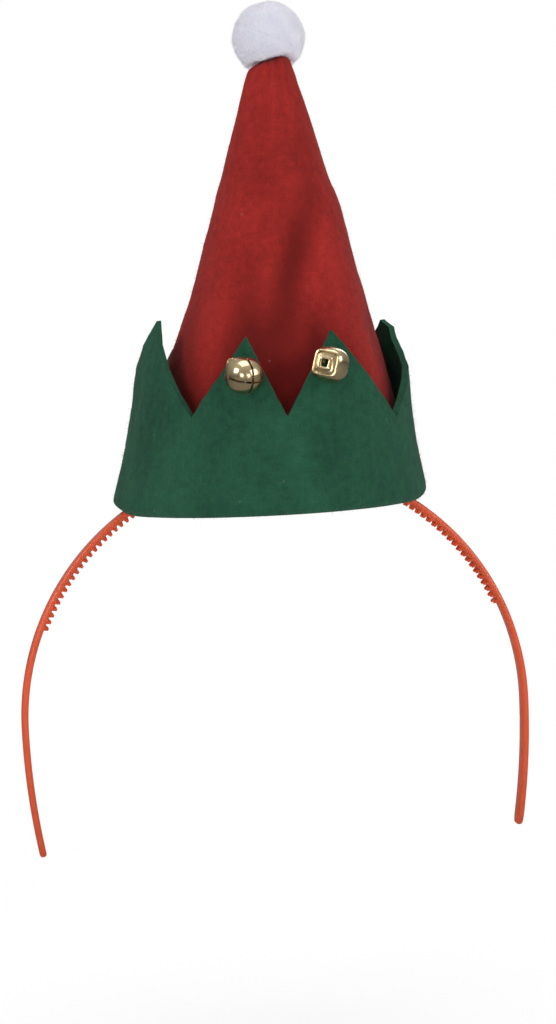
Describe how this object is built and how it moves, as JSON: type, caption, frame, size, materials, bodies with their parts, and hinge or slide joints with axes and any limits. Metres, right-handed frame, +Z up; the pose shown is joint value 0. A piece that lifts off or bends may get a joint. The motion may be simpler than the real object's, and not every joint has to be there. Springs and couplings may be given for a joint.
{
  "type": "elf headband",
  "caption": "Plastic comb headband that carries a small felt elf hat: a red cone in a zigzag green cuff, with jingle bells on its front points and a pompom on the tip.",
  "frame": {"origin": "where the crown of the head meets the tips of the comb's teeth, under the middle of the headband", "axes": "+Z up along the wearer's height, -Y the way the wearer faces, +X to the right as seen from the front"},
  "size_m": [0.146, 0.0944, 0.2395],
  "materials": {
    "orange_plastic": "moulded, translucent, satin",
    "red_felt": "pressed felt",
    "green_felt": "pressed felt",
    "white_yarn": "fluffy cut yarn",
    "bell_brass": "bright pale gold plating",
    "pellet_steel": "plain"
  },
  "bodies": {
    "root": {"headband": "orange_plastic", "cone": "red_felt", "cuff": "green_felt", "pompom": "white_yarn", "bell_left": "bell_brass", "bell_right": "bell_brass", "pellet_left": "pellet_steel", "pellet_right": "pellet_steel"}
  },
  "joints": []
}
